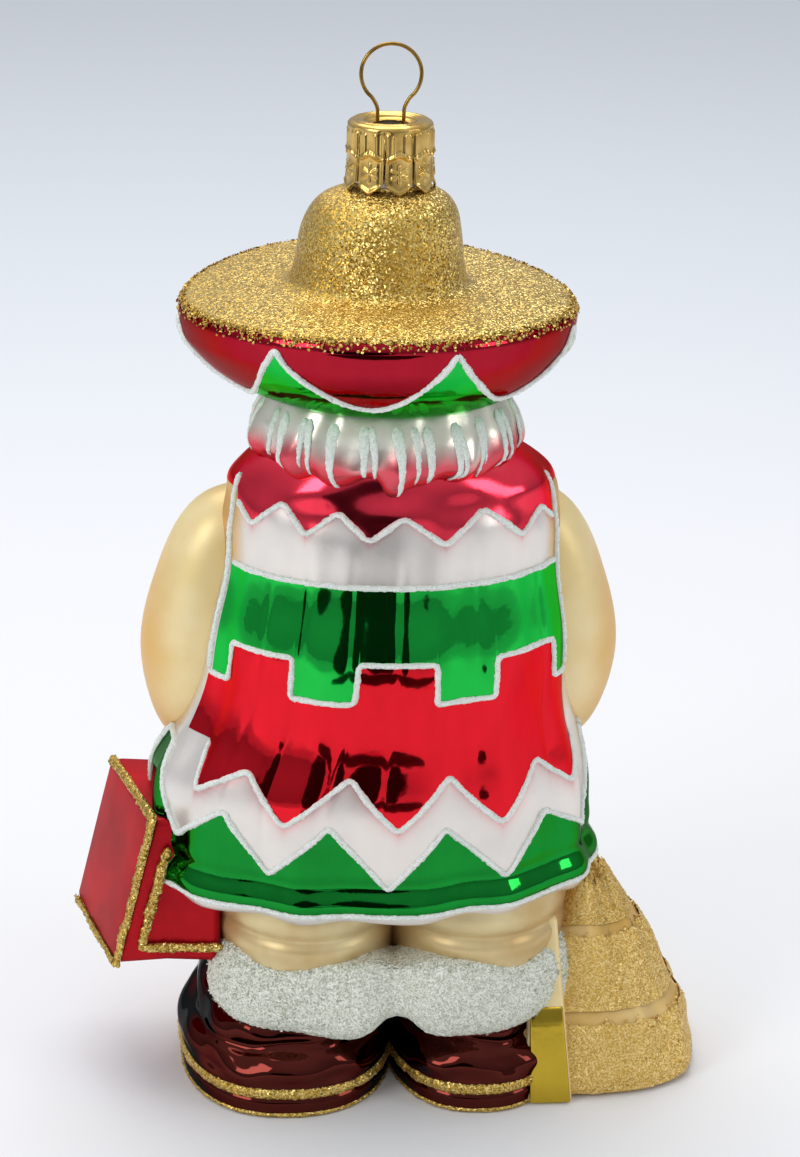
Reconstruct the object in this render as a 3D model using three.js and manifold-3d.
// A hanging holiday ornament: a hollow blown glass figure in a wide hat and a poncho, with lacquer,
// glitter and relief lines laid on the glass, a pressed metal cap and a sprung wire hanger.
// Millimetres, +Z up. The face looks towards -Y, the back of the poncho towards +Y.
import * as THREE from "three";
import { mergeVertices } from "three/addons/utils/BufferGeometryUtils.js";
import Module from "manifold-3d";

const wasm = await Module();
wasm.setup();

// Glass and the layers on it
const glass_wall = 0.9;
const hollow_column_count = 14;
const coat_gap = 0.3;
const coat_thickness = 0.4;
const line_width = 1.1;
const line_height = 0.6;
const ground_clearance = 0.3;
const shortest_edge = 0.1;
const coat_top = coat_gap + coat_thickness;
const line_top = coat_gap + line_height;
const beside_coat = coat_top + coat_gap;
const beside_line = line_top + coat_gap;

const mix = THREE.MathUtils.lerp;

// Poncho: half widths and half depths at six heights; the hem sways out to the left
const hem_height = 31;
const shoulder_height = 91;
const hem_half_width = 32.4;
const hem_centre_x = 1.2;
const hem_half_depth = 20.8;
const hem_roll = 1.4;
const hip_height = mix(hem_height, shoulder_height, 0.2667);
const hip_half_width = 30.7;
const hip_centre_x = 1.5;
const hip_half_depth = 21;
const waist_height = mix(hem_height, shoulder_height, 0.5667);
const waist_half_width = 25.6;
const waist_half_depth = 19.8;
const chest_height = mix(hem_height, shoulder_height, 0.8167);
const chest_half_width = 24;
const chest_half_depth = 17.9;
const shoulder_half_width = 22.4;
const shoulder_half_depth = 16;
const collar_height = shoulder_height + 6;
const collar_radius = 13.5;
const torso_centre_x = -1;
const shoulder_slope = 0.34;

// Head, hair and beard
const head_height = collar_height;
const head_radius = 18.6;
const head_centre_y = 0.5;
const beard_tip_height = chest_height + 2;
const beard_half_width = 13;
const face_angle = 46;
const face_low = head_height - 1;
const face_high = head_height + 4.6;
const nose_radius = 2.3;
const eye_radius = 1.1;
const eye_height = head_height + 2.7;
const eye_angle = 17;
const brow_height = head_height + 4.2;
const hair_strand_count = 9;
const hair_strand_spacing = 14;
const hair_strand_length = 5.4;
const hair_strand_rise = 3.4;

// Hat
const brim_radius = 27;
const brim_curl = 2.2;
const brim_tilt = 1.1;
const bowl_radius = 16;
const bowl_height = head_height + 6.2;
const brim_height = bowl_height + 12.3;
const brim_centre_x = 1.3;
const crown_radius = 10.8;
const crown_centre_x = 1.8;
const crown_base_height = brim_height + 4.6;
const crown_top_height = brim_height + 14.8;
const scallop_count = 7;
const scallop_point_count = 4;
const hat_column_count = scallop_count * scallop_point_count;
const scallop_turn = -18;
const scallop_low_height = bowl_height + 2.4;
const scallop_peak_height = bowl_height + 10.4;
const green_level = 1.3;

// Neck, cap and hanger
const neck_radius = 4.9;
const neck_height = crown_top_height + 8.9;
const bore_radius = 4;
const cap_radius = 5.6;
const cap_sheet = 0.35;
const cap_height = 9.2;
const cap_finger_count = 9;
const finger_slit_height = 5;
const hole_radius = 2.3;
const wire_radius = 0.28;
const loop_radius = 4;
const loop_height = neck_height + 6.6;
const leg_spread = 1.6;
const leg_depth = 14;

// Arms, from the shoulder to the hand
const shoulder_reach = 21.4;
const elbow_reach = 26;
const arm_radius = 8;
const arm_centre_y = -3.8;
const hand_radius = 5.6;
const hand_forward = 19;
const hand_height = hem_height + 17.6;

// Legs, cuffs and boots
const stance_x = -1.7;
const leg_centre_x = 12.2;
const leg_half_width = 13.2;
const leg_half_depth = 16.2;
const cuff_low = 12;
const cuff_high = 23;
const cuff_bulge = 1.9;
const cuff_bridge_y = leg_half_depth - 3.8;
const cuff_bridge_half_width = 7.4;
const cuff_bridge_half_depth = 4.6;
const boot_half_width_left = 15.5;
const boot_half_width_right = 12.8;
const boot_half_length = 20.6;
const boot_height = 12.5;
const boot_centre_y = -1.5;
const welt_height = 3.8;
const boot_column_count = 16;

// Gift box at the left side, leaning out at the foot and narrower towards the back
const gift_low = 19.6;
const gift_high = 42.8;
const gift_front_y = -13.5;
const gift_back_y = 9;
const gift_outer_x = 38.8;
const gift_inner_x = 23;
const gift_lean = 5.6;
const gift_taper = 6;
const gift_edge_width = 1.3;
const panel_inset = 3.4;

// Tiered tree at the right side, and the plain block that joins it to the boot
const tree_centre_x = -29;
const tree_centre_y = -0.5;
const tree_half_width = 18.4;
const tree_half_depth = 16;
const tree_height = 34;
const tree_tier_count = 3;
const tree_column_count = 16;
const tier_step = 0.07;
const block_low_x = -27.4;
const block_high_x = -20.8;
const block_back_y = 17.2;
const block_top_low_x = -25;
const block_top_back_y = 11;
const block_height = 27;
const block_panel_height = block_height * 0.52;

const degree = Math.PI / 180;

// Closed bodies from rings of vertices, with their faces turned outwards
function closed_body(points, faces) {
  const geometry = new THREE.BufferGeometry();
  const corners = new Float32Array(points.flatMap((p) => [p.x, p.y, p.z]));
  geometry.setAttribute("position", new THREE.BufferAttribute(corners, 3));
  const apart = (i, j) => points[i].distanceToSquared(points[j]) > 1e-8;
  const real = faces.filter(([i, j, k]) => apart(i, j) && apart(j, k) && apart(k, i));
  let volume = 0;
  for (const [i, j, k] of real) {
    volume += points[i].dot(new THREE.Vector3().crossVectors(points[j], points[k]));
  }
  geometry.setIndex(real.flatMap(([i, j, k]) => (volume > 0 ? [i, j, k] : [i, k, j])));
  return geometry;
}

function quad(faces, a, b, c, d) {
  faces.push([a, b, c], [a, c, d]);
}

function solid_from(geometry) {
  const bare = geometry.clone();
  bare.deleteAttribute("normal");
  bare.deleteAttribute("uv");
  const merged = mergeVertices(bare, 1e-5);
  const mesh = new wasm.Mesh({
    numProp: 3,
    vertProperties: new Float32Array(merged.attributes.position.array),
    triVerts: new Uint32Array(merged.index.array),
  });
  return new wasm.Manifold(mesh);
}

// Numbers in groups that can be united
function groups_of(count) {
  const parent = Array.from({ length: count }, (_, i) => i);
  const root = (i) => {
    let top = i;
    while (parent[top] !== top) {
      parent[top] = parent[parent[top]];
      top = parent[top];
    }
    return top;
  };
  const unite = (i, j) => {
    parent[root(j)] = root(i);
  };
  return { root, unite };
}

// Faces with their shortest edges closed up
function without_short_edges(spots, faces) {
  const { root, unite } = groups_of(spots.length);
  for (const face of faces) {
    face.forEach((i, k) => {
      const [p, q] = [root(i), root(face[(k + 1) % 3])];
      if (p !== q && spots[p].distanceTo(spots[q]) < shortest_edge) {
        unite(p, q);
      }
    });
  }
  const closed = faces.map((face) => face.map(root)).filter(([i, j, k]) => i !== j && j !== k && k !== i);
  const key = (face) => [...face].sort((p, q) => p - q).join(" ");
  const seen = new Map();
  closed.forEach((face) => seen.set(key(face), (seen.get(key(face)) ?? 0) + 1));
  return closed.filter((face) => seen.get(key(face)) === 1);
}

// The largest connected body of a solid, without the slivers that a cut can leave
function geometry_from(solid) {
  const { vertProperties, triVerts, numProp } = solid.getMesh();
  const count = vertProperties.length / numProp;
  const spots = [];
  for (let i = 0; i < count; i++) {
    spots.push(new THREE.Vector3().fromArray(vertProperties, i * numProp));
  }
  const cut_faces = [];
  for (let t = 0; t < triVerts.length; t += 3) {
    cut_faces.push([...triVerts.slice(t, t + 3)]);
  }
  const faces = without_short_edges(spots, cut_faces);
  const { root, unite } = groups_of(count);
  for (const [i, j, k] of faces) {
    unite(i, j);
    unite(i, k);
  }
  const volumes = new Map();
  for (const [i, j, k] of faces) {
    const volume = spots[i].dot(new THREE.Vector3().crossVectors(spots[j], spots[k]));
    volumes.set(root(i), (volumes.get(root(i)) ?? 0) + volume);
  }
  const largest = [...volumes].sort((p, q) => q[1] - p[1])[0][0];
  const kept = faces.filter(([i]) => root(i) === largest).flat();
  const geometry = new THREE.BufferGeometry();
  const positions = kept.flatMap((i) => spots[i].toArray());
  geometry.setAttribute("position", new THREE.BufferAttribute(new Float32Array(positions), 3));
  return mergeVertices(geometry, 1e-5);
}

function join(solids) {
  return solids.reduce((whole, solid) => whole.add(solid));
}

function cut(solid, tools) {
  return tools.reduce((rest, tool) => rest.subtract(tool), solid);
}

// A body stacked from flat rings. Each control row is [height, half width, half depth, x, y].
// Angles run from the back (+Y) towards the left (+X), in degrees.
function stacked_shape(rows, { rings = rows.length, square = 2, warp = (p) => p } = {}) {
  const controls = rows.map(([z, a, b]) => new THREE.Vector3(a, b, z));
  const centres = rows.map(([, , , x = 0, y = 0]) => new THREE.Vector3(x, y, 0));
  const last = rows.length - 1;
  const curve = new THREE.CatmullRomCurve3(controls, false, "centripetal");
  const path = new THREE.CatmullRomCurve3(centres, false, "centripetal");
  const levels = [];
  for (let i = 0; i < rings; i++) {
    const t = i / (rings - 1);
    const size = rings === rows.length ? controls[i] : curve.getPoint(t);
    const centre = rings === rows.length ? centres[i] : path.getPoint(t);
    levels.push({ a: size.x, b: size.y, z: size.z, x: centre.x, y: centre.y });
  }

  const radius = (level) => (level.a + level.b) / 2;
  const edge_normal = (from, to) => {
    const run = new THREE.Vector2(to.z - from.z, radius(from) - radius(to));
    return run.normalize();
  };
  const first_cap = { ...levels[0], a: 0, b: 0 };
  const last_cap = { ...levels[rings - 1], a: 0, b: 0 };
  const sets = new Map();
  const grown = (d) => {
    if (!sets.has(d)) {
      sets.set(d, levels.map((level, i) => {
        const before = edge_normal(levels[i - 1] ?? first_cap, level);
        const after = edge_normal(level, levels[i + 1] ?? last_cap);
        const sum = before.clone().add(after);
        const shift = sum.multiplyScalar(d / Math.max(0.5, 1 + before.dot(after)));
        const a = Math.max(0.2, level.a + shift.x);
        const b = Math.max(0.2, level.b + shift.x);
        return { ...level, a, b, z: level.z + shift.y };
      }));
    }
    return sets.get(d);
  };

  const power = 2 / square;
  const bend = (value) => Math.sign(value) * Math.abs(value) ** power;
  const at = (angle, level, d) => {
    const set = grown(d);
    const i = Math.min(rings - 2, Math.max(0, Math.floor(level)));
    const f = level - i;
    const [p, q] = [set[i], set[i + 1]];
    const x = mix(p.x, q.x, f) + mix(p.a, q.a, f) * bend(Math.sin(angle * degree));
    const y = mix(p.y, q.y, f) + mix(p.b, q.b, f) * bend(Math.cos(angle * degree));
    return warp(new THREE.Vector3(x, y, mix(p.z, q.z, f)));
  };
  // The ring number, with a fraction, at a height between two rings counted from one end
  const level_at = (height, from = 0, to = rings - 1) => {
    for (let i = from; i < to; i++) {
      const [low, high] = [levels[i].z, levels[i + 1].z];
      if ((height - low) * (height - high) <= 0 && low !== high) {
        return i + (height - low) / (high - low);
      }
    }
    return Math.abs(height - levels[from].z) < Math.abs(height - levels[to].z) ? from : to;
  };
  return { at, level_at, rings };
}

function stacked_body(shape, d, columns, turn = 0) {
  const points = [];
  const faces = [];
  for (let r = 0; r < shape.rings; r++) {
    for (let c = 0; c < columns; c++) {
      points.push(shape.at(turn + (360 * c) / columns, r, d));
    }
  }
  for (let r = 0; r < shape.rings - 1; r++) {
    for (let c = 0; c < columns; c++) {
      const next = (c + 1) % columns;
      quad(faces, r * columns + c, r * columns + next, (r + 1) * columns + next, (r + 1) * columns + c);
    }
  }
  const top = (shape.rings - 1) * columns;
  for (let c = 1; c < columns - 1; c++) {
    faces.push([0, c + 1, c], [top, top + c, top + c + 1]);
  }
  return solid_from(closed_body(points, faces));
}

// A slab that follows a shape. Each column is [angle, level, level, ...], from one edge to the other.
function slab_on(shape, columns, { ring = false, base = coat_gap, top = coat_top } = {}) {
  const points = [];
  const faces = [];
  for (const [angle, ...levels] of columns) {
    for (const d of [base, top]) {
      points.push(...levels.map((level) => shape.at(angle, level, d)));
    }
  }
  const side = columns[0].length - 1;
  const rows = side - 1;
  const index = (c, d, r) => (c % columns.length) * 2 * side + d * side + r;
  const count = ring ? columns.length : columns.length - 1;
  for (let c = 0; c < count; c++) {
    for (let r = 0; r < rows; r++) {
      quad(faces, index(c, 1, r), index(c, 1, r + 1), index(c + 1, 1, r + 1), index(c + 1, 1, r));
      quad(faces, index(c, 0, r), index(c + 1, 0, r), index(c + 1, 0, r + 1), index(c, 0, r + 1));
    }
    quad(faces, index(c, 0, 0), index(c, 1, 0), index(c + 1, 1, 0), index(c + 1, 0, 0));
    quad(faces, index(c, 0, rows), index(c + 1, 0, rows), index(c + 1, 1, rows), index(c, 1, rows));
  }
  if (!ring) {
    const end = columns.length - 1;
    for (let r = 0; r < rows; r++) {
      quad(faces, index(0, 0, r), index(0, 0, r + 1), index(0, 1, r + 1), index(0, 1, r));
      quad(faces, index(end, 0, r), index(end, 1, r), index(end, 1, r + 1), index(end, 0, r + 1));
    }
  }
  return solid_from(closed_body(points, faces));
}

// The points of a route, with more wherever it crosses a ring or goes further round than a step
function stops_along(route, ring, step) {
  const stops = [];
  const legs = ring ? route.length : route.length - 1;
  for (let i = 0; i < legs; i++) {
    const [from, to] = [route[i], route[(i + 1) % route.length]];
    const span = to[0] - from[0] + (ring && i === legs - 1 ? 360 : 0);
    const rise = to[1] - from[1];
    const parts = Math.max(1, Math.ceil(Math.abs(span) / step));
    const shares = Array.from({ length: parts }, (_, k) => k / parts);
    for (let level = Math.ceil(Math.min(from[1], to[1])); level < Math.max(from[1], to[1]); level++) {
      shares.push((level - from[1]) / rise);
    }
    shares.sort((p, q) => p - q);
    const kept = shares.filter((share, k) => share < 0.97 && (k === 0 || share - shares[k - 1] > 0.03));
    stops.push(...kept.map((share) => [from[0] + span * share, from[1] + rise * share]));
  }
  if (!ring) {
    stops.push(route[route.length - 1]);
  }
  return stops;
}

// A raised line on a shape along [angle, level] points, with mitred corners
function line_on(shape, route, { ring = false, base = coat_gap, top = line_top, step = 12 } = {}) {
  const stops = stops_along(route, ring, step);
  const count = stops.length;
  const foot = stops.map(([angle, level]) => shape.at(angle, level, base));
  const head = stops.map(([angle, level]) => shape.at(angle, level, top));
  const along = (i) => {
    const next = ring ? foot[(i + 1) % count] : foot[Math.min(i + 1, count - 1)];
    return next.clone().sub(foot[ring ? (i + count) % count : i]).normalize();
  };
  const points = [];
  for (let i = 0; i < count; i++) {
    const normal = head[i].clone().sub(foot[i]).normalize();
    const before = ring ? along((i - 1 + count) % count) : along(Math.max(0, i - 1));
    const after = !ring && i === count - 1 ? before : along(i);
    const across_before = new THREE.Vector3().crossVectors(normal, before).normalize();
    const across = new THREE.Vector3().crossVectors(normal, after).normalize().add(across_before);
    const reach = 1 / Math.max(0.45, across.length() / 2);
    across.normalize().multiplyScalar((reach * line_width) / 2);
    for (const [spot, share] of [[foot[i], -1], [foot[i], 1], [head[i], 0.65], [head[i], -0.65]]) {
      points.push(spot.clone().addScaledVector(across, share));
    }
  }
  const faces = [];
  for (let i = 0; i < (ring ? count : count - 1); i++) {
    const [p, q] = [i * 4, ((i + 1) % count) * 4];
    for (let k = 0; k < 4; k++) {
      quad(faces, p + k, q + k, q + ((k + 1) % 4), p + ((k + 1) % 4));
    }
  }
  if (!ring) {
    const end = (count - 1) * 4;
    quad(faces, 0, 1, 2, 3);
    quad(faces, end, end + 3, end + 2, end + 1);
  }
  return solid_from(closed_body(points, faces));
}

// A round limb along points, with its own radius at each
function limb(points, radii, d, { steps = 7, sides = 10 } = {}) {
  const path = new THREE.CatmullRomCurve3(points, false, "centripetal");
  const sizes = radii.map((r) => new THREE.Vector3(r, 0, 0));
  const size = new THREE.CatmullRomCurve3(sizes, false, "centripetal");
  const frames = path.computeFrenetFrames(steps, false);
  const rings = [];
  for (let i = 0; i <= steps; i++) {
    const radius = size.getPoint(i / steps).x + d;
    const centre = path.getPoint(i / steps);
    const [normal, binormal, tangent] = [frames.normals[i], frames.binormals[i], frames.tangents[i]];
    const ends = i === 0 ? [[-0.75, 0.6], [0, 1]] : i === steps ? [[0, 1], [0.75, 0.6]] : [[0, 1]];
    for (const [shift, share] of ends) {
      rings.push(Array.from({ length: sides }, (_, k) => {
        const turn = (2 * Math.PI * k) / sides;
        return centre.clone()
          .addScaledVector(tangent, shift * radius)
          .addScaledVector(normal, share * radius * Math.cos(turn))
          .addScaledVector(binormal, share * radius * Math.sin(turn));
      }));
    }
  }
  const faces = [];
  for (let r = 0; r < rings.length - 1; r++) {
    for (let k = 0; k < sides; k++) {
      const next = (k + 1) % sides;
      quad(faces, r * sides + k, r * sides + next, (r + 1) * sides + next, (r + 1) * sides + k);
    }
  }
  const top = (rings.length - 1) * sides;
  for (let k = 1; k < sides - 1; k++) {
    faces.push([0, k + 1, k], [top, top + k, top + k + 1]);
  }
  return solid_from(closed_body(rings.flat(), faces));
}

// A body with six sides, from its corners in the order of their bits: three yes-or-no choices
function six_sided(points) {
  const faces = [];
  const sides = [[0, 1, 3, 2], [4, 6, 7, 5], [0, 4, 5, 1], [2, 3, 7, 6], [0, 2, 6, 4], [1, 5, 7, 3]];
  for (const [a, b, c, e] of sides) {
    quad(faces, a, b, c, e);
  }
  return solid_from(closed_body(points, faces));
}

function box_between(low, high) {
  const size = new THREE.Vector3().subVectors(high, low);
  const geometry = new THREE.BoxGeometry(size.x, size.y, size.z);
  geometry.translate(...low.clone().add(high).multiplyScalar(0.5).toArray());
  return solid_from(geometry);
}

// Shapes of the figure
function sloped_shoulders(p) {
  const high = THREE.MathUtils.smoothstep(p.z, chest_height, collar_height);
  return p.setZ(p.z - shoulder_slope * Math.max(0, -p.y) * high);
}

const poncho = stacked_shape([
  [hem_height, hem_half_width - hem_roll, hem_half_depth - hem_roll, hem_centre_x],
  [hem_height + hem_roll, hem_half_width, hem_half_depth, hem_centre_x],
  [hip_height, hip_half_width, hip_half_depth, hip_centre_x],
  [waist_height, waist_half_width, waist_half_depth, torso_centre_x / 2],
  [chest_height, chest_half_width, chest_half_depth, torso_centre_x],
  [shoulder_height, shoulder_half_width, shoulder_half_depth, torso_centre_x],
  [collar_height, collar_radius, collar_radius],
], { rings: 8, warp: sloped_shoulders });

const head_row = (rise, share) => {
  const radius = head_radius * share;
  return [head_height + rise, radius, radius, 0, head_centre_y];
};
const head = stacked_shape([
  head_row(-3.6, 0.7),
  head_row(-2.2, 0.92),
  head_row(0, 1),
  head_row(2.6, 0.97),
  head_row(5.2, 0.9),
  head_row(8, 0.83),
]);

const brim_curled = (p) => {
  const forward = Math.max(0, -p.y) / brim_radius;
  const backward = Math.max(0, p.y) / brim_radius;
  const outward = Math.max(0, (Math.hypot(p.x, p.y) - crown_radius) / (brim_radius - crown_radius));
  return p.setZ(p.z + (brim_curl * forward ** 2 + brim_tilt * backward) * Math.min(1, outward));
};
const brim_row = (r, z, x = brim_centre_x) => [z, r, r, x];
const hat = stacked_shape([
  brim_row(bowl_radius * 0.6, bowl_height - 0.5, 0),
  brim_row(bowl_radius, bowl_height, 0),
  brim_row(mix(bowl_radius, brim_radius, 0.42), bowl_height + 2, brim_centre_x * 0.45),
  brim_row(mix(bowl_radius, brim_radius, 0.78), bowl_height + 5.5, brim_centre_x * 0.8),
  brim_row(brim_radius - 0.3, brim_height - 4),
  brim_row(brim_radius, brim_height - 1.5),
  brim_row(brim_radius - 0.7, brim_height),
  brim_row(mix(crown_radius, brim_radius, 0.5), brim_height + 1.9),
  brim_row(crown_radius + 0.4, crown_base_height - 0.2, crown_centre_x),
  brim_row(crown_radius, crown_base_height + 1.8, crown_centre_x),
  brim_row(crown_radius - 1, mix(crown_base_height, crown_top_height, 0.55), crown_centre_x * 0.7),
  brim_row(crown_radius * 0.72, crown_top_height - 1.2, crown_centre_x * 0.4),
  brim_row(neck_radius, crown_top_height, 0),
], { warp: brim_curled });
const hat_rim = 6;

const neck = stacked_shape([
  [crown_top_height - 3, neck_radius, neck_radius],
  [neck_height, neck_radius, neck_radius],
]);

const leg_x = (side) => stance_x + side * leg_centre_x;
const leg_shape = (side) => stacked_shape([
  [boot_height - 2, leg_half_width - 2, leg_half_depth - 2.4, leg_x(side), 0.6],
  [cuff_high - 1, leg_half_width, leg_half_depth, leg_x(side), 0.6],
  [hem_height + 4, leg_half_width + 0.5, leg_half_depth + 0.3, leg_x(side), 0.6],
]);

const cuff_shape = (side) => {
  const row = (z, out) => [z, leg_half_width - 1 + out, leg_half_depth + out, leg_x(side), 1.2];
  return stacked_shape([
    row(cuff_low, 0),
    row(cuff_low + 1.4, cuff_bulge * 0.75),
    row(cuff_high - 2.4, cuff_bulge),
    row(cuff_high, 0),
  ]);
};

const boot_shape = (side) => {
  const half_width = side > 0 ? boot_half_width_left : boot_half_width_right;
  const row = (z, inset) => [
    z, half_width - inset, boot_half_length - inset, stance_x + side * (half_width - 0.5), boot_centre_y,
  ];
  return stacked_shape([
    row(0, 1.1),
    row(1.1, 0.1),
    row(welt_height, 0),
    row(mix(welt_height, boot_height, 0.6), 1.3),
    row(boot_height, 4.2),
  ], { square: 2.3 });
};

const tree = stacked_shape(tree_rows(), { square: 2.7 });

function tree_rows() {
  const share = (t) => 1 - 0.06 * t - 0.92 * t ** 1.55;
  const row = (t, grow) => {
    const s = Math.max(0.06, share(t) * grow);
    return [t * tree_height, tree_half_width * s, tree_half_depth * s, tree_centre_x, tree_centre_y];
  };
  const rows = [row(0, 0.97)];
  for (let i = 0; i < tree_tier_count; i++) {
    const [low, high] = [i / tree_tier_count, (i + 1) / tree_tier_count];
    rows.push(row(mix(low, high, 0.5), 1));
    if (i < tree_tier_count - 1) {
      rows.push(row(high - 0.03, 1 + tier_step / 2));
      rows.push(row(high + 0.015, 1 - tier_step));
    }
  }
  rows.push(row(1, 1));
  return rows;
}

const beard = stacked_shape([
  [beard_tip_height, 2.5, 1.6, 0, -chest_half_depth - 0.6],
  [beard_tip_height + 3, beard_half_width * 0.6, 3.6, 0, -chest_half_depth],
  [beard_tip_height + 8, beard_half_width * 0.9, 5.6, 0, -chest_half_depth + 1.4],
  [head_height - 2, beard_half_width, 6.6, 0, -chest_half_depth + 3.6],
  [head_height + 2, beard_half_width * 0.92, 6.6, 0, -head_radius + 6.2],
]);

const arm_points = (side) => [
  [shoulder_reach - 7, arm_centre_y, shoulder_height - 7.5],
  [shoulder_reach, arm_centre_y, shoulder_height - 10],
  [mix(shoulder_reach, elbow_reach, 0.65), arm_centre_y, waist_height + 8.5],
  [elbow_reach, arm_centre_y - 0.4, waist_height - 1],
  [elbow_reach - 1, arm_centre_y - 3.6, mix(waist_height, hand_height, 0.62)],
  [elbow_reach - 2, mix(arm_centre_y, -hand_forward, 0.65), hand_height + 2.6],
  [elbow_reach - 2.4, -hand_forward, hand_height],
].map(([x, y, z]) => new THREE.Vector3(side * x, y, z));
const arm_radii = [
  arm_radius - 3,
  arm_radius - 1.5,
  arm_radius - 0.5,
  arm_radius,
  arm_radius - 0.6,
  hand_radius + 0.9,
  hand_radius,
];
const arm_body = (side, d) => limb(arm_points(side), arm_radii, d);

function gift_corner(outer, back, top, d) {
  const out = gift_outer_x - gift_taper * back + gift_lean * (1 - top);
  const x = outer ? out + d : gift_inner_x - d;
  const y = back ? gift_back_y + d : gift_front_y - d;
  return new THREE.Vector3(x, y, top ? gift_high + d : gift_low - d);
}

function gift_body(d) {
  const points = [];
  for (const outer of [0, 1]) {
    for (const back of [0, 1]) {
      for (const top of [0, 1]) {
        points.push(gift_corner(outer, back, top, d));
      }
    }
  }
  return six_sided(points);
}

// The block narrows and leans forward as it rises; front, bottom and top stay where they are given
function block_slice(low_z, high_z, front_y, back_d, side_d) {
  const points = [];
  for (const z of [low_z, high_z]) {
    const share = z / block_height;
    const back_y = mix(block_back_y, block_top_back_y, share) + back_d;
    const low_x = mix(block_low_x, block_top_low_x, share) - side_d;
    const y = Math.min(front_y ?? back_y - coat_thickness, back_y);
    for (const x of [low_x, block_high_x + side_d]) {
      points.push(new THREE.Vector3(x, y, z), new THREE.Vector3(x, back_y, z));
    }
  }
  return six_sided(points);
}

function block_body(d) {
  return block_slice(Math.max(0, -d), block_height + d, 0, d, d);
}

function ball(centre, scale, d) {
  const geometry = new THREE.SphereGeometry(1, 8, 6);
  geometry.scale(scale.x + d, scale.y + d, scale.z + d);
  geometry.translate(centre.x, centre.y, centre.z);
  return solid_from(geometry);
}

const nose_centre = new THREE.Vector3(0, head_centre_y - head_radius * 0.97, head_height + 3.2);
const nose_size = new THREE.Vector3(nose_radius, nose_radius, nose_radius * 0.9);
const moustache = (side, d) => {
  const centre = new THREE.Vector3(side * beard_half_width * 0.36, -head_radius - 0.2, face_low);
  return ball(centre, new THREE.Vector3(beard_half_width * 0.42, 2.2, 2), d);
};

// The fur runs on between the two cuffs
const cuff_bridge = (d) => {
  const centre = new THREE.Vector3(stance_x, cuff_bridge_y, (cuff_low + cuff_high) / 2);
  const rise = (cuff_high - cuff_low) * 0.47;
  return ball(centre, new THREE.Vector3(cuff_bridge_half_width, cuff_bridge_half_depth, rise), d);
};

// Bodies of the glass, grown outwards by d
const legs = [leg_shape(1), leg_shape(-1)];
const cuffs = [cuff_shape(1), cuff_shape(-1)];
const boots = [boot_shape(1), boot_shape(-1)];
const stacks = {
  poncho: [poncho, 24],
  head: [head, 18],
  hat: [hat, hat_column_count, scallop_turn],
  neck: [neck, 12],
  leg_left: [legs[0], 12],
  leg_right: [legs[1], 12],
  cuff_left: [cuffs[0], 12],
  cuff_right: [cuffs[1], 12],
  boot_left: [boots[0], boot_column_count],
  boot_right: [boots[1], boot_column_count],
  tree: [tree, tree_column_count],
  beard: [beard, 12],
};
const solids = {
  arm_left: (d) => arm_body(1, d),
  arm_right: (d) => arm_body(-1, d),
  moustache_left: (d) => moustache(1, d),
  moustache_right: (d) => moustache(-1, d),
  cuff_bridge,
  gift: gift_body,
  block: block_body,
};
const made = new Map();
function grown(name, d) {
  const key = `${name} ${d}`;
  if (!made.has(key)) {
    const [shape, columns, turn] = stacks[name] ?? [];
    const body = shape ? stacked_body(shape, d, columns, turn) : solids[name](d);
    made.set(key, body);
  }
  return made.get(key);
}
const all_grown = (names, d) => names.map((name) => grown(name, d));

// Glass: every body joined, hollowed through the neck
function glass_shell() {
  const outside = join(all_grown([...Object.keys(stacks), ...Object.keys(solids)], 0));
  const wide = ["poncho", "head", "hat", "boot_left", "boot_right", "tree"];
  const rooms = wide.map((name) => stacked_body(stacks[name][0], -glass_wall, hollow_column_count));
  const others = all_grown(["leg_left", "leg_right", "arm_left", "arm_right", "gift"], -glass_wall);
  return outside.subtract(join([...rooms, ...others, bore_body()]));
}

function bore_body() {
  const row = (height) => [height, bore_radius, bore_radius];
  return stacked_body(stacked_shape([row(crown_top_height - 4), row(neck_height + 1)]), 0, 16);
}

// Coats and lines are laid on one body, a small gap away from it, and cut back from its neighbours
function coat(name, zone, neighbours = [], top = coat_top) {
  const layer = grown(name, top).intersect(zone).subtract(grown(name, coat_gap));
  return cut(layer, all_grown(neighbours, beside_line));
}

function raised_line(name, route, neighbours = [], options = {}) {
  return cut(line_on(stacks[name][0], route, options), all_grown(neighbours, beside_coat));
}

// A zone on a shape, deep enough to cut a piece out of a coat that follows it
function zone_on(shape, columns, options = {}) {
  return slab_on(shape, columns, { base: -1.2, top: 2, ...options });
}

const far = 200;
const corner_at = ({ x, y, z }, other) => new THREE.Vector3(x ?? other, y ?? other, z ?? other);
const space = (low, high) => box_between(corner_at(low, -far), corner_at(high, far));
const everywhere = space({}, {});
const above_ground = space({ z: ground_clearance }, {});
const halves = {
  back: space({ y: 0 }, {}),
  front: space({}, { y: 0 }),
  left: space({ x: 0 }, {}),
  right: space({}, { x: 0 }),
};
const half_parts = (name, solid, look, sides) => (
  sides.map((side) => [`${name}_${side}`, solid.intersect(halves[side]), look])
);

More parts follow.
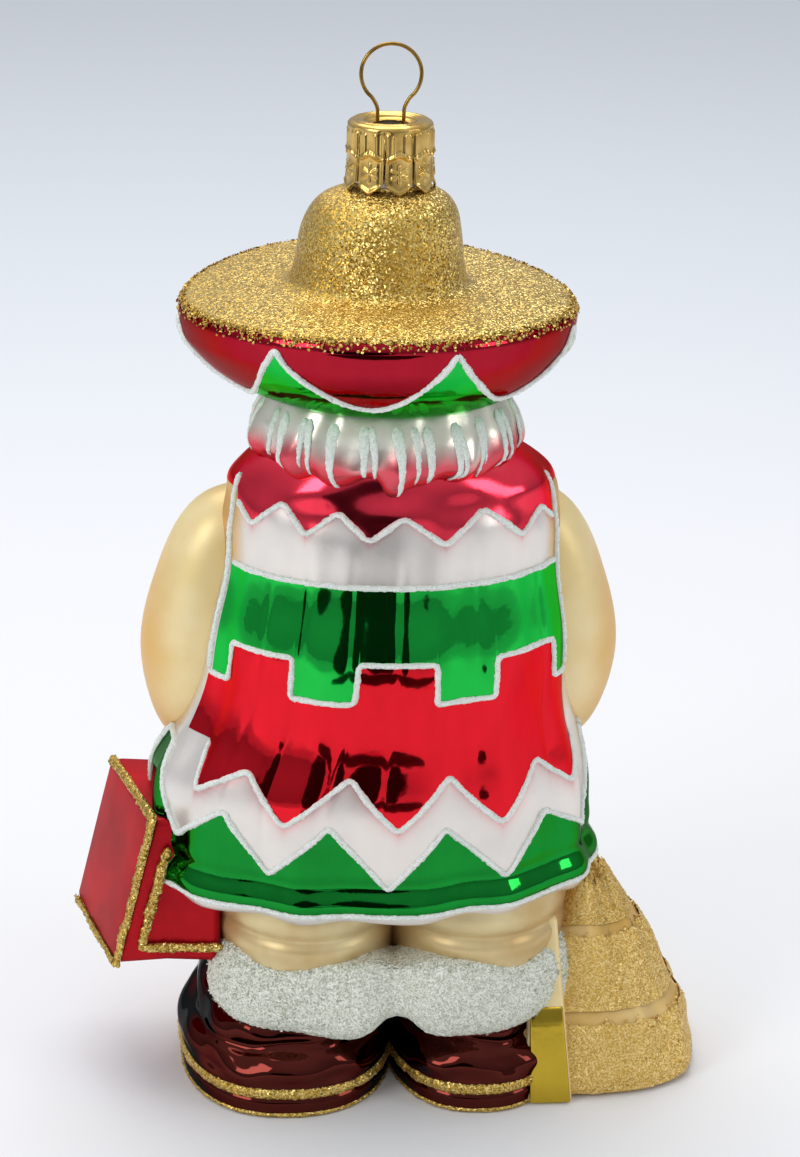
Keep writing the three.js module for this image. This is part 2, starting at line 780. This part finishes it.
// A route moved sideways on its shape by a distance, towards higher levels where it is positive
function beside_route(shape, route, distance, ring = false) {
  const count = route.length;
  const tiny = 0.01;
  const spots = route.map(([angle, level]) => shape.at(angle, level, coat_gap));
  return route.map(([angle, level], i) => {
    const spot = spots[i];
    const round = shape.at(angle + tiny, level, coat_gap).sub(spot).divideScalar(tiny);
    const down = Math.max(0, level - tiny);
    const rise = shape.at(angle, down + tiny, coat_gap).sub(shape.at(angle, down, coat_gap));
    const up = rise.divideScalar(tiny);
    const normal = new THREE.Vector3().crossVectors(up, round).normalize();
    const last = ring ? spots[(i + count - 1) % count] : spots[i - 1];
    const next = ring ? spots[(i + 1) % count] : spots[i + 1];
    const before = last ? spot.clone().sub(last).normalize() : null;
    const after = next ? next.clone().sub(spot).normalize() : before;
    const across = new THREE.Vector3().crossVectors(after, normal).normalize();
    across.add(new THREE.Vector3().crossVectors(before ?? after, normal).normalize());
    const reach = distance / Math.max(0.45, across.length() / 2);
    across.normalize().multiplyScalar(reach * Math.sign(across.dot(up) || 1));
    return [angle + across.dot(round) / round.lengthSq(), level + across.dot(up) / up.lengthSq()];
  });
}

// A ring route moved along the levels alone, far enough to clear the legs on both sides of each point
function lifted_route(shape, route, distance) {
  const spots = route.map(([angle, level]) => shape.at(angle, level, coat_gap));
  return route.map(([angle, level], i) => {
    const up = shape.at(angle, level + 0.01, coat_gap).sub(spots[i]).multiplyScalar(100);
    const steepest = Math.max(...[1, route.length - 1].map((step) => {
      const leg = spots[(i + step) % route.length].clone().sub(spots[i]);
      return Math.abs(leg.dot(up)) / up.length() / leg.length();
    }));
    return [angle, level + distance / Math.sqrt(1 - Math.min(0.8, steepest ** 2)) / up.length()];
  });
}

// Columns between two routes with the same angles, with a level at every ring in between
function ringed_columns(lows, highs) {
  const first = Math.ceil(Math.min(...lows.map(([, level]) => level)));
  const last = Math.floor(Math.max(...highs.map(([, level]) => level)));
  const rings = Array.from({ length: last - first + 1 }, (_, i) => first + i);
  return lows.map(([angle, low], i) => {
    const high = highs[i][1];
    return [angle, low, ...rings.map((level) => THREE.MathUtils.clamp(level, low, high)), high];
  });
}

// The level of a route at an angle
function level_on(route, angle) {
  for (let i = 0; i < route.length - 1; i++) {
    const [p, q] = [route[i], route[i + 1]];
    if (angle >= p[0] && angle <= q[0]) {
      return mix(p[1], q[1], (angle - p[0]) / (q[0] - p[0]));
    }
  }
  return angle < route[0][0] ? route[0][1] : route[route.length - 1][1];
}

// The columns of a band between two routes, at every corner of either and in between
function band_columns(low, high, from, to, rows, spacing = 12) {
  const corners = [...low, ...high].map(([angle]) => angle).filter((angle) => angle > from && angle < to);
  const stops = [from, ...corners, to].sort((p, q) => p - q);
  const apart = stops.filter((stop, i) => i === 0 || stop - stops[i - 1] > 0.2);
  const columns = [];
  apart.forEach((stop, i) => {
    const next = apart[i + 1] ?? stop;
    const parts = Math.max(1, Math.ceil((next - stop) / spacing));
    for (let k = 0; k < parts; k++) {
      const angle = mix(stop, next, k / parts);
      const [bottom, top] = [level_on(low, angle), level_on(high, angle)];
      columns.push([angle, ...Array.from({ length: rows + 1 }, (_, r) => mix(bottom, top, r / rows))]);
    }
  });
  return columns;
}

const turned = (route, turn) => route.map(([angle, height]) => [angle + turn, height]);
const levelled = (shape, route) => route.map(([angle, height]) => [angle, shape.level_at(height)]);

// The woven pattern painted on the poncho, as [angle, height] from the middle of the back
const panel_angle = 72;
const yoke_height = chest_height;
const step_low = waist_height - 1;
const step_high = mix(step_low, yoke_height, 0.35);
const step_corners = { left: [12, 33.5, 60], right: [12, 32, 60] };
const side_line_top = shoulder_height + 1.5;
const collar_top = shoulder_height + 3.5;
const above = (height, route, stretch = 1) => route.map(([angle, rise]) => [angle, height + rise * stretch]);
const weave_stretch = (hip_height - hem_height) / 16;
const collar_zigzag = above(shoulder_height - 5, [
  [-69, 0], [-59, 2.6], [-46, -0.6], [-30, 4], [-15, -0.4], [-1, 3.6],
  [10.5, 0.2], [21.5, 4], [33, 0.4], [43, 4.4], [57, 0.4], [69, 3],
]);
const upper_zigzag = above(hip_height, [
  [-74, 7.5], [-63, 1], [-48.5, 6.2], [-33, -1.4], [-18, 6.2], [-4.5, -1.2],
  [9.5, 6.4], [25, -1], [39.5, 6], [55, 1.5], [60, 8.5],
], weave_stretch);
const lower_zigzag = above(hem_height, [
  [-87, 22], [-73.5, 8.4], [-49, 14.4], [-34, 5.8], [-17, 14.8], [-2, 5.4],
  [13, 15.4], [29, 7], [43, 16], [63, 9.5], [76, 22],
], weave_stretch);
const hem_edge_height = hem_height + hem_roll + line_width / 3;

function step_route() {
  const side = (corners, sign) => {
    const route = [];
    corners.forEach((angle, i) => {
      const heights = i % 2 ? [step_low, step_high] : [step_high, step_low];
      route.push([sign * angle, heights[0]], [sign * (angle + 0.6), heights[1]]);
    });
    return [...route, [sign * panel_angle, step_low]];
  };
  return [...side(step_corners.right, -1).reverse(), [0, step_high], ...side(step_corners.left, 1)];
}

const beside_line_centre = line_width / 2 + 1.5 * coat_gap;

function poncho_side_parts(place, turn, beside) {
  const on_poncho = (route) => levelled(poncho, turned(route, turn));
  const flat = (height, reach = panel_angle) => [[-reach, height], [reach, height]];
  const yoke = flat(yoke_height);
  const steps = step_route();
  const end_gap = 3;
  const band = (low, high, reach, rows, shifts) => {
    const [bottom, top] = [low, high].map((route, i) => (
      beside_route(poncho, on_poncho(route), shifts[i] * beside_line_centre)
    ));
    const columns = band_columns(bottom, top, turn - reach, turn + reach, rows);
    return coat("poncho", zone_on(poncho, columns), beside);
  };
  const side = (sign) => [[sign * panel_angle, step_low + line_width], [sign * panel_angle, side_line_top]];
  const line = (route) => raised_line("poncho", on_poncho(route), beside);
  const name = (part) => `${part}_${place}`;
  const collar_band = band(collar_zigzag, flat(collar_top), panel_angle - end_gap, 2, [1, 0]);
  const collar = [name("collar_lacquer"), collar_band, "red"];
  const collar_line = [name("collar_line"), line(collar_zigzag), "relief"];
  const common = [
    [name("green_band_lacquer"), band(steps, yoke, panel_angle - end_gap, 1, [1, -1]), "green"],
    [name("red_band_lacquer"), band(upper_zigzag, steps, panel_angle, 1, [1, -1]), "red"],
    [name("yoke_line"), line(flat(yoke_height, panel_angle - end_gap)), "relief"],
    [name("step_line"), line(steps), "relief"],
    [name("zigzag_line"), line(upper_zigzag), "relief"],
  ];
  if (place === "front") {
    const split = [collar, collar_line].flatMap((part) => half_parts(...part, ["left", "right"]));
    return [...split, ...common];
  }
  const side_line = (at, sign) => [name(`side_line_${at}`), line(side(sign)), "relief"];
  return [collar, collar_line, ...common, side_line("left", 1), side_line("right", -1)];
}

function hem_parts() {
  const beside = ["gift", "tree", "arm_left", "arm_right"];
  const ring = true;
  const zigzag = levelled(poncho, [...lower_zigzag, ...turned(lower_zigzag, 180)]);
  const edge_level = poncho.level_at(hem_edge_height);
  const edge = Array.from({ length: 24 }, (_, i) => [i * 15, edge_level]);
  const upper = beside_route(poncho, zigzag, -beside_line_centre, ring);
  const start = upper[0][0];
  const closed = [...upper, [start + 360, upper[0][1]]];
  const gap_level = poncho.level_at(hem_edge_height + beside_line_centre);
  const lower = [[start, gap_level], [start + 360, gap_level]];
  const step = 8;
  const columns = band_columns(lower, closed, start, start + 360, 1, step).slice(0, -1);
  const line = (route) => raised_line("poncho", route, beside, { ring, step });
  return [
    ["hem_lacquer", coat("poncho", zone_on(poncho, columns, { ring }), beside), "green"],
    ["hem_zigzag_line", line(zigzag), "relief"],
    ["hem_line", line(edge), "relief"],
  ];
}

// Scallops of red hang from the rim over the green underside of the brim
function hat_parts() {
  const ring = true;
  const corners = Array.from({ length: hat_column_count }, (_, i) => {
    const share = (i % scallop_point_count) / scallop_point_count;
    const height = mix(scallop_peak_height, scallop_low_height, Math.sin(Math.PI * share) ** 0.8);
    return [scallop_turn + (360 * i) / hat_column_count, hat.level_at(height, 0, hat_rim)];
  });
  const scallops = stops_along(corners, ring, 360 / hat_column_count);
  const proud = { ring, base: 1.5 * coat_gap, top: coat_top + 0.5 * coat_gap };
  const layer = (lows, highs) => slab_on(hat, ringed_columns(lows, highs), proud);
  const around = (level, route = scallops) => route.map(([angle]) => [angle, level]);
  const above = lifted_route(hat, scallops, beside_line_centre);
  const below = lifted_route(hat, scallops, -beside_line_centre);
  const gold_columns = ringed_columns(around(hat_rim - 0.25, corners), around(hat.rings - 1.9, corners));
  return [
    ["hat_top_glitter", slab_on(hat, gold_columns, { ring }), "gold"],
    ["hat_red_lacquer", layer(above, around(hat_rim - 0.55)), "red"],
    ["hat_green_lacquer", layer(around(green_level), below), "green"],
    ["hat_scallop_line", line_on(hat, scallops, { ring }), "relief"],
  ];
}

function head_parts() {
  const parts = [];
  for (let i = 0; i < hair_strand_count; i++) {
    const angle = (i - (hair_strand_count - 1) / 2) * hair_strand_spacing;
    const top = head_height + hair_strand_rise;
    const bottom = top - hair_strand_length * (i % 2 ? 0.8 : 1);
    const strand = raised_line("head", levelled(head, [[angle, top], [angle, bottom]]));
    parts.push([`hair_strand_${i + 1}`, strand, "relief"]);
  }
  const reach = face_angle;
  const edge = (height) => levelled(head, [[180 - reach, height], [180 + reach, height]]);
  const columns = band_columns(edge(face_low), edge(face_high), 180 - reach, 180 + reach, 2);
  const skin = coat("head", zone_on(head, columns));
  const nose = ball(nose_centre, nose_size, 0).subtract(grown("head", coat_gap));
  const around_face = ["hat", "beard", "moustache_left", "moustache_right"];
  parts.push(["face_lacquer", cut(skin.add(nose), all_grown(around_face, beside_coat)), "skin"]);
  for (const [name, sign] of [["left", -1], ["right", 1]]) {
    const lift = beside_coat + eye_radius / 2;
    const centre = head.at(180 + sign * eye_angle, head.level_at(eye_height), lift);
    const size = new THREE.Vector3(eye_radius, eye_radius / 2, eye_radius);
    parts.push([`eye_${name}`, ball(centre, size, 0), "black"]);
    const brow_end = (angle, drop) => [180 + sign * (eye_angle + angle), brow_height - drop];
    const brow = [brow_end(-8, 0), brow_end(10, 0.6)];
    const raised = { base: beside_coat, top: beside_coat + line_height };
    parts.push([`eyebrow_${name}`, line_on(head, levelled(head, brow), raised), "relief"]);
  }
  return parts;
}

// Coats over a pair of bodies that run into each other
function pair_coat(names, top, neighbours) {
  const layer = join(all_grown(names, top)).subtract(join(all_grown(names, coat_gap)));
  return cut(layer, all_grown(neighbours, beside_line));
}

function welt_piping(name, neighbours) {
  const shape = stacks[name][0];
  const step = 360 / boot_column_count;
  const welt = Array.from({ length: boot_column_count }, (_, i) => [i * step, shape.level_at(welt_height)]);
  const raised = { ring: true, step, base: beside_coat, top: beside_coat + line_height };
  const line = line_on(shape, welt, raised);
  return cut(line, all_grown(neighbours, beside_coat + line_top));
}

function limb_parts() {
  const parts = [];
  const leg_pair = ["leg_left", "leg_right"];
  const cuff_pair = ["cuff_left", "cuff_right", "cuff_bridge"];
  const boot_pair = ["boot_left", "boot_right"];
  const beside = ["gift", "tree", "block"];
  for (const name of ["left", "right"]) {
    const arm = coat(`arm_${name}`, everywhere, ["poncho", "head", "beard", "gift", "tree"]);
    parts.push([`arm_lacquer_${name}`, arm, "skin"]);
  }
  const skin = pair_coat(leg_pair, coat_top, ["poncho", ...cuff_pair, ...boot_pair, ...beside]);
  parts.push(...half_parts("leg_lacquer", skin, "skin", ["back", "front"]));
  const fur = pair_coat(cuff_pair, line_top, [...leg_pair, ...boot_pair, ...beside]);
  parts.push(["cuff_glitter", fur, "white_glitter"]);
  for (const [name, other] of [["left", "right"], ["right", "left"]]) {
    const around_boot = [`boot_${other}`, ...cuff_pair, ...leg_pair, "tree", "block"];
    parts.push([`boot_lacquer_${name}`, coat(`boot_${name}`, above_ground, around_boot), "brown"]);
  }
  parts.push(["boot_piping_left", welt_piping("boot_left", ["boot_right"]), "gold"]);
  const piping = welt_piping("boot_right", ["boot_left", "tree", "block"]);
  parts.push(...half_parts("boot_piping_right", piping, "gold", ["back", "front"]));
  return parts;
}

function bar_between(from, to, half) {
  const along = new THREE.Vector3().subVectors(to, from);
  const length = along.length();
  const geometry = new THREE.BoxGeometry(2 * half, 2 * half, length + 2 * half);
  const turn = new THREE.Quaternion().setFromUnitVectors(new THREE.Vector3(0, 0, 1), along.normalize());
  geometry.applyQuaternion(turn);
  geometry.translate(...from.clone().add(to).multiplyScalar(0.5).toArray());
  return solid_from(geometry);
}

function gift_parts() {
  const frame = (half) => {
    const loop = [[0, 1], [1, 1], [1, 0], [0, 0]].map(([back, top]) => gift_corner(1, back, top, coat_top));
    return join(loop.map((corner, i) => bar_between(corner, loop[(i + 1) % 4], half)));
  };
  const beside = ["poncho", "arm_left", "leg_left", "cuff_left", "boot_left"];
  const half = gift_edge_width / 2;
  const lacquer = coat("gift", everywhere, beside).subtract(frame(half + coat_gap));
  const around_edges = all_grown(["poncho", "arm_left", "boot_left"], beside_coat);
  const edges = cut(frame(half).subtract(grown("gift", coat_gap)), around_edges);
  const panel_y = gift_back_y + beside_coat + half;
  const panel_x = gift_outer_x - gift_taper - panel_inset;
  const corner = new THREE.Vector3(panel_x + gift_lean * 0.8, panel_y, gift_low + panel_inset);
  const upper = new THREE.Vector3(panel_x + gift_lean * 0.2, panel_y, gift_high - panel_inset);
  const inner = new THREE.Vector3(gift_inner_x, panel_y, gift_low + panel_inset);
  const panel = bar_between(upper, corner, half).add(bar_between(corner, inner, half));
  return [
    ["gift_lacquer", lacquer, "satin_red"],
    ["gift_edge_glitter", edges, "gold"],
    ["gift_panel_line", cut(panel, all_grown(["poncho", "leg_left", "cuff_left"], beside_line)), "gold"],
  ];
}

function tree_parts() {
  const beside = ["poncho", "leg_right", "cuff_right", "boot_right", "block", "arm_right"];
  const names = ["bottom", "middle", "top"];
  const parts = names.slice(0, tree_tier_count).map((name, i) => {
    const low = i === 0 ? 0.2 : 3 * i + 0.25;
    const high = i === tree_tier_count - 1 ? tree.rings - 1.2 : 3 * i + 2;
    const angles = Array.from({ length: tree_column_count }, (_, k) => (360 * k) / tree_column_count);
    const around = (level) => angles.map((angle) => [angle, level]);
    const columns = ringed_columns(around(low), around(high));
    const tier = cut(slab_on(tree, columns, { ring: true, top: line_top }), all_grown(beside, beside_coat));
    return [`tree_glitter_${name}`, tier.intersect(above_ground), "gold"];
  });
  const around_panel = all_grown(["boot_right", "cuff_right", "leg_right", "tree"], beside_line);
  const slice = block_slice(2 * ground_clearance, block_panel_height, null, coat_top, -0.6);
  const panel = cut(slice, around_panel);
  parts.push(["block_lacquer", panel, "olive"]);
  return parts;
}

// Pressed cap: a thin cup over the neck, with pointed fingers and a round hole for the wire
function cap_body() {
  const plate_height = neck_height + coat_gap;
  const skirt_low = plate_height + cap_sheet - cap_height;
  const cup = stacked_shape([
    [skirt_low, cap_radius, cap_radius],
    [plate_height, cap_radius, cap_radius],
    [plate_height, hole_radius, hole_radius],
  ]);
  const finger = [[0, 0], [0.4, 0.16], [0.45, 1], [0.55, 1], [0.6, 0.16]];
  const columns = [];
  for (let i = 0; i < cap_finger_count; i++) {
    for (const [share, slit] of finger) {
      const height = skirt_low + cap_sheet + slit * finger_slit_height;
      columns.push([(360 * (i + share)) / cap_finger_count, cup.level_at(height, 0, 1), 1, 2]);
    }
  }
  return slab_on(cup, columns, { ring: true, base: 0, top: cap_sheet });
}

// Sprung wire: a round loop, drawn in at the hole and spread again inside the neck
function wire_body() {
  const flare = bore_radius - wire_radius - coat_gap;
  const hole_height = neck_height + coat_gap;
  const side = (sign) => [
    [sign * flare, hole_height - leg_depth],
    [sign * flare, hole_height - leg_depth * 0.55],
    [sign * leg_spread, hole_height - 1],
    [sign * leg_spread, hole_height + 1.6],
  ];
  const loop = [];
  const turns = 10;
  for (let i = 0; i <= turns; i++) {
    const turn = mix(40, 320, i / turns) * degree;
    loop.push([-loop_radius * Math.sin(turn), loop_height - loop_radius * Math.cos(turn)]);
  }
  const route = [...side(-1), ...loop, ...side(1).reverse()];
  const spots = route.map(([x, z]) => new THREE.Vector3(x, 0, z));
  const path = new THREE.CatmullRomCurve3(spots, false, "centripetal");
  const sides = 6;
  const section = new THREE.Shape(Array.from({ length: sides }, (_, i) => {
    const turn = (2 * Math.PI * i) / sides;
    return new THREE.Vector2(wire_radius * Math.cos(turn), wire_radius * Math.sin(turn));
  }));
  return new THREE.ExtrudeGeometry(section, { steps: 46, extrudePath: path });
}

const materials = {
  pearl: [0xf1ebe2, 0.28, 0.35],
  red: [0xc4142f, 0.12, 0.7],
  green: [0x0f8a3c, 0.12, 0.7],
  satin_red: [0xa3202c, 0.35, 0.6],
  brown: [0x5a211b, 0.12, 0.7],
  olive: [0xb29a1c, 0.15, 0.7],
  skin: [0xe9cf9d, 0.35, 0.3],
  gold: [0xc9a045, 0.6, 0.8],
  relief: [0xe9ece9, 0.7, 0.1],
  white_glitter: [0xdfe3dc, 0.7, 0.2],
  black: [0x1a1716, 0.3, 0],
  brass: [0xc8a24a, 0.3, 1],
  wire: [0x9c7c45, 0.35, 1],
};

const figure = new THREE.Group();
function add_part(name, geometry, look) {
  const [color, roughness, metalness] = materials[look];
  geometry.computeVertexNormals();
  const part = new THREE.Mesh(geometry, new THREE.MeshStandardMaterial({ color, roughness, metalness }));
  part.name = name;
  figure.add(part);
}

add_part("glass_shell", geometry_from(glass_shell()), "pearl");
const laid = [
  ...hat_parts(),
  ...head_parts(),
  ...poncho_side_parts("back", 0, ["head"]),
  ...poncho_side_parts("front", 180, ["head", "beard", "arm_left", "arm_right"]),
  ...hem_parts(),
  ...limb_parts(),
  ...gift_parts(),
  ...tree_parts(),
];
for (const [name, solid, look] of laid) {
  add_part(name, geometry_from(solid), look);
}
add_part("crown_cap", geometry_from(cap_body()), "brass");
add_part("hanger_wire", wire_body(), "wire");

// The origin is on the ground, under the middle of the box round the figure
const bounds = new THREE.Box3().setFromObject(figure);
const middle = bounds.getCenter(new THREE.Vector3());
figure.position.set(-middle.x, -middle.y, -bounds.min.z);
figure.updateMatrixWorld(true);

export default figure;
